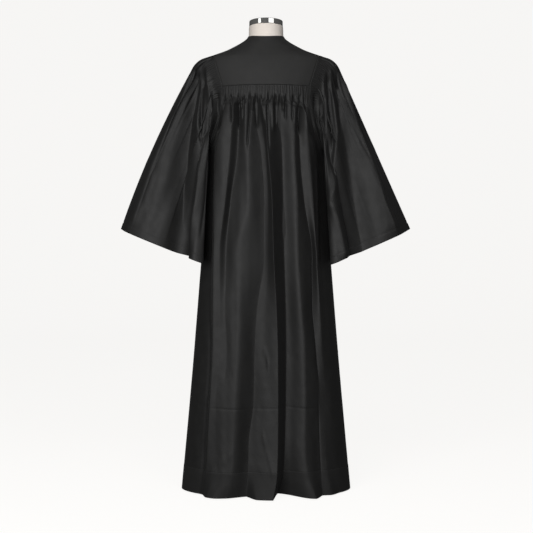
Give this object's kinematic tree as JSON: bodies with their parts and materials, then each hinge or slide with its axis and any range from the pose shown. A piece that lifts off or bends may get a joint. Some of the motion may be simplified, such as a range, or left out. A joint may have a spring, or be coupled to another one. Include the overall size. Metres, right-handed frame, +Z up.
{
  "type": "choir robe on a dress form",
  "caption": "Floor-length choir robe with a flat back yoke, gathered back, bell sleeves and a zipped front, worn by a limbless dress form on a flat base.",
  "frame": {"origin": "on the floor, on the underside of the form's base plate, straight under the form's neck", "axes": "+Z up, -Y the way the wearer faces, +Y the gathered back, +X the wearer's left"},
  "size_m": [0.903, 0.3652, 1.457],
  "materials": {
    "robe_cloth": "matte black woven polyester",
    "zip_tape": "black knitted zip tape",
    "zip_metal": "black lacquered metal",
    "form_linen": "cream linen cover",
    "form_chrome": "polished chrome band",
    "form_steel": "brushed steel"
  },
  "bodies": {
    "robe_and_form": {"yoke_back": "robe_cloth", "back_panel": "robe_cloth", "front_left": "robe_cloth", "front_right": "robe_cloth", "sleeve_left": "robe_cloth", "sleeve_right": "robe_cloth", "zip_tape": "zip_tape", "zip_slider": "zip_metal", "form_torso": "form_linen", "form_neck_cap": "form_chrome", "form_pole": "form_steel", "form_base": "form_steel"},
    "pull_tab": {"zip_pull": "zip_metal"}
  },
  "joints": [
    {"name": "pull_swing", "type": "hinge", "parent": "robe_and_form", "child": "pull_tab", "pos_m": [0, -0.08979, 1.33896], "axis": [-1, 0, 0], "range_deg": [0, 150]}
  ]
}
